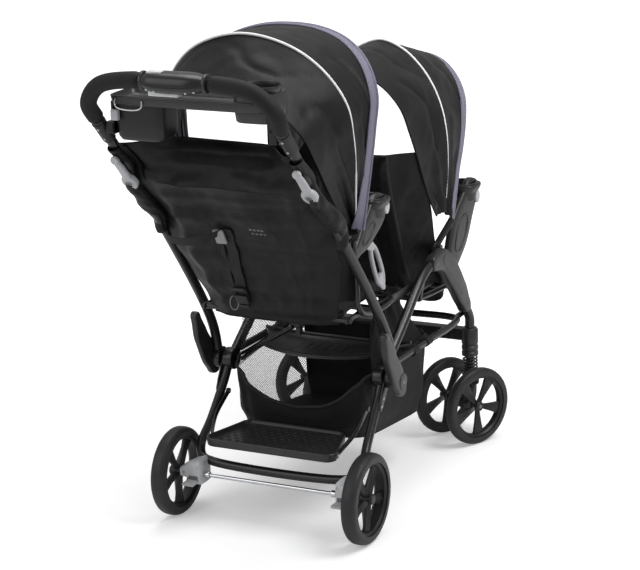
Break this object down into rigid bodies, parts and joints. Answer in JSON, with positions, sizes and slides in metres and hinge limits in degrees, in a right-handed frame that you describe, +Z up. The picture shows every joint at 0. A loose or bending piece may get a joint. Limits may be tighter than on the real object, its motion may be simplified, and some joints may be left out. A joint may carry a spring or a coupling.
{
  "type": "twin stroller",
  "caption": "Tandem stroller with a front and a rear seat, canopies, a rear sitting bench, a standing platform, storage basket and a folding handle frame.",
  "frame": {"origin": "centre of the bounding box at floor level", "axes": "+X to the left side of the stroller as seen by the person pushing from behind and facing the travel direction, front is -Y, rear (handle) is +Y, +Z up; wheels rest on z = 0"},
  "size_m": [0.6213, 1.3351, 1.1895],
  "materials": {
    "frame_black": "satin powder coat",
    "plastic_black": "fine grain",
    "plastic_gloss": "gloss",
    "plastic_grey": "satin",
    "tyre_black": "satin",
    "foam": "closed-cell foam, matte",
    "steel": "polished",
    "spring_steel": "blackened",
    "cloth": "woven nylon",
    "cushion": "padded woven nylon",
    "trim": "woven binding"
  },
  "bodies": {
    "frame": {"frame_tube_right": "frame_black", "frame_tube_left": "frame_black", "arch_bracket_right": "plastic_black", "arch_bracket_left": "plastic_black", "front_crossbar": "plastic_black", "lower_rail": "frame_black", "bench": "plastic_black", "basket": "cloth", "rear_seat_pad": "cushion", "front_seat_pad": "cushion", "rear_seat_frame": "frame_black", "front_seat_frame": "frame_black", "rear_child_tray": "plastic_black", "front_child_tray": "plastic_black", "rear_canopy": "cloth", "front_canopy": "cloth"},
    "handle": {"push_tube_right": "frame_black", "push_tube_left": "frame_black", "hub_casting_right": "plastic_black", "hub_casting_left": "plastic_black", "handle_bar": "frame_black", "foam_grip_right": "foam", "foam_grip_left": "foam", "trigger_housing": "plastic_gloss", "parent_tray": "plastic_black"},
    "rear_legs": {"rear_leg_frame": "frame_black", "wheel_bracket_right": "plastic_grey", "wheel_bracket_left": "plastic_grey", "rear_axle": "steel", "platform": "plastic_black", "platform_stay_right": "frame_black", "platform_stay_left": "frame_black"},
    "rear_back": {"rear_seat_back": "cushion"},
    "front_back": {"front_seat_back": "cushion"},
    "rear_bow": {"rear_canopy_bow": "trim"},
    "front_bow": {"front_canopy_bow": "trim"},
    "trigger": {"squeeze_trigger": "plastic_grey"},
    "button": {"thumb_button": "plastic_grey"},
    "rear_wheel_right": {"rear_rim_right": "plastic_black", "rear_tyre_right": "tyre_black"},
    "suspension_right": {"spring_right": "spring_steel"},
    "caster_right": {"caster_fork_right": "plastic_black"},
    "front_wheel_right_outer": {"front_rim_right_outer": "plastic_black", "front_tyre_right_outer": "tyre_black"},
    "front_wheel_right_inner": {"front_rim_right_inner": "plastic_black", "front_tyre_right_inner": "tyre_black"},
    "fold_latch_body_right": {"fold_latch_right": "plastic_grey"},
    "seat_latch_body_right": {"seat_latch_right": "plastic_grey"},
    "brake_right": {"brake_pedal_right": "plastic_grey"},
    "rear_wheel_left": {"rear_rim_left": "plastic_black", "rear_tyre_left": "tyre_black"},
    "suspension_left": {"spring_left": "spring_steel"},
    "caster_left": {"caster_fork_left": "plastic_black"},
    "front_wheel_left_outer": {"front_rim_left_outer": "plastic_black", "front_tyre_left_outer": "tyre_black"},
    "front_wheel_left_inner": {"front_rim_left_inner": "plastic_black", "front_tyre_left_inner": "tyre_black"},
    "fold_latch_body_left": {"fold_latch_left": "plastic_grey"},
    "seat_latch_body_left": {"seat_latch_left": "plastic_grey"},
    "brake_left": {"brake_pedal_left": "plastic_grey"}
  },
  "joints": [
    {"name": "frame_fold", "type": "hinge", "parent": "frame", "child": "handle", "pos_m": [-0.0138, 0.0846, 0.336], "axis": [1, 0, 0], "range_deg": [0, 105], "deforming": ["rear_canopy", "front_canopy", "rear_canopy_bow", "front_canopy_bow", "basket"]},
    {"name": "rear_leg_fold", "type": "hinge", "parent": "frame", "child": "rear_legs", "pos_m": [-0.0138, 0.0846, 0.336], "axis": [1, 0, 0], "range_deg": [-60, 0], "deforming": ["basket"]},
    {"name": "rear_back_recline", "type": "hinge", "parent": "frame", "child": "rear_back", "pos_m": [-0.0138, 0.2236, 0.52], "axis": [-1, 0, 0], "range_deg": [0, 25]},
    {"name": "front_back_recline", "type": "hinge", "parent": "frame", "child": "front_back", "pos_m": [-0.0138, -0.2304, 0.442], "axis": [-1, 0, 0], "range_deg": [0, 12]},
    {"name": "rear_canopy_swing", "type": "hinge", "parent": "frame", "child": "rear_bow", "pos_m": [-0.0138, 0.1976, 0.716], "axis": [-1, 0, 0], "range_deg": [0, 48], "deforming": ["rear_canopy"]},
    {"name": "front_canopy_swing", "type": "hinge", "parent": "frame", "child": "front_bow", "pos_m": [-0.0138, -0.30644, 0.55003], "axis": [-1, 0, 0], "range_deg": [0, 50], "deforming": ["front_canopy"]},
    {"name": "trigger_squeeze", "type": "slide", "parent": "handle", "child": "trigger", "axis": [0, 0, 1], "range_m": [0, 0.006], "stiffness_N_per_m": 1200, "springref_m": -0.004},
    {"name": "thumb_press", "type": "slide", "parent": "handle", "child": "button", "axis": [0, 0, -1], "range_m": [0, 0.002], "stiffness_N_per_m": 900, "springref_m": -0.002},
    {"name": "rear_wheel_right_spin", "type": "hinge", "parent": "rear_legs", "child": "rear_wheel_right", "pos_m": [-0.2638, 0.2896, 0.108], "axis": [1, 0, 0], "continuous": true},
    {"name": "suspension_right_travel", "type": "slide", "parent": "frame", "child": "suspension_right", "axis": [0, 0, 1], "range_m": [0, 0.012], "stiffness_N_per_m": 8000, "springref_m": -0.01, "deforming": ["spring_right"]},
    {"name": "caster_right_swivel", "type": "hinge", "parent": "suspension_right", "child": "caster_right", "pos_m": [-0.2198, -0.4654, 0.15], "axis": [0, 0, 1], "continuous": true},
    {"name": "front_wheel_right_outer_spin", "type": "hinge", "parent": "caster_right", "child": "front_wheel_right_outer", "pos_m": [-0.2597, -0.4109, 0.102], "axis": [0.9026, -0.4305, 0], "continuous": true},
    {"name": "front_wheel_right_inner_spin", "type": "hinge", "parent": "caster_right", "child": "front_wheel_right_inner", "pos_m": [-0.1523, -0.4621, 0.102], "axis": [0.9026, -0.4305, 0], "continuous": true},
    {"name": "fold_latch_right_press", "type": "hinge", "parent": "handle", "child": "fold_latch_body_right", "pos_m": [-0.2248, 0.4826, 0.899], "axis": [-1, 0, 0], "range_deg": [0, 10], "stiffness_Nm_per_rad": 0.5, "springref_deg": -11.46},
    {"name": "seat_latch_right_lift", "type": "hinge", "parent": "frame", "child": "seat_latch_body_right", "pos_m": [-0.2138, 0.1496, 0.684], "axis": [-1, 0, 0], "range_deg": [0, 20], "stiffness_Nm_per_rad": 0.5, "springref_deg": -11.46},
    {"name": "brake_right_press", "type": "hinge", "parent": "rear_legs", "child": "brake_right", "pos_m": [-0.2138, 0.3102, 0.093], "axis": [-1, 0, 0], "range_deg": [0, 20]},
    {"name": "rear_wheel_left_spin", "type": "hinge", "parent": "rear_legs", "child": "rear_wheel_left", "pos_m": [0.2362, 0.2896, 0.108], "axis": [1, 0, 0], "continuous": true},
    {"name": "suspension_left_travel", "type": "slide", "parent": "frame", "child": "suspension_left", "axis": [0, 0, 1], "range_m": [0, 0.012], "stiffness_N_per_m": 8000, "springref_m": -0.01, "deforming": ["spring_left"]},
    {"name": "caster_left_swivel", "type": "hinge", "parent": "suspension_left", "child": "caster_left", "pos_m": [0.1922, -0.4654, 0.15], "axis": [0, 0, 1], "continuous": true},
    {"name": "front_wheel_left_outer_spin", "type": "hinge", "parent": "caster_left", "child": "front_wheel_left_outer", "pos_m": [0.2597, -0.4621, 0.102], "axis": [0.9026, -0.4305, 0], "continuous": true},
    {"name": "front_wheel_left_inner_spin", "type": "hinge", "parent": "caster_left", "child": "front_wheel_left_inner", "pos_m": [0.1523, -0.4109, 0.102], "axis": [0.9026, -0.4305, 0], "continuous": true},
    {"name": "fold_latch_left_press", "type": "hinge", "parent": "handle", "child": "fold_latch_body_left", "pos_m": [0.1972, 0.4826, 0.899], "axis": [-1, 0, 0], "range_deg": [0, 10], "stiffness_Nm_per_rad": 0.5, "springref_deg": -11.46},
    {"name": "seat_latch_left_lift", "type": "hinge", "parent": "frame", "child": "seat_latch_body_left", "pos_m": [0.1862, 0.1496, 0.684], "axis": [-1, 0, 0], "range_deg": [0, 20], "stiffness_Nm_per_rad": 0.5, "springref_deg": -11.46},
    {"name": "brake_left_press", "type": "hinge", "parent": "rear_legs", "child": "brake_left", "pos_m": [0.1862, 0.3102, 0.093], "axis": [-1, 0, 0], "range_deg": [0, 20]}
  ],
  "couplings": [
    {"joint": "rear_leg_fold", "follows": "frame_fold", "ratio": -0.55}
  ]
}
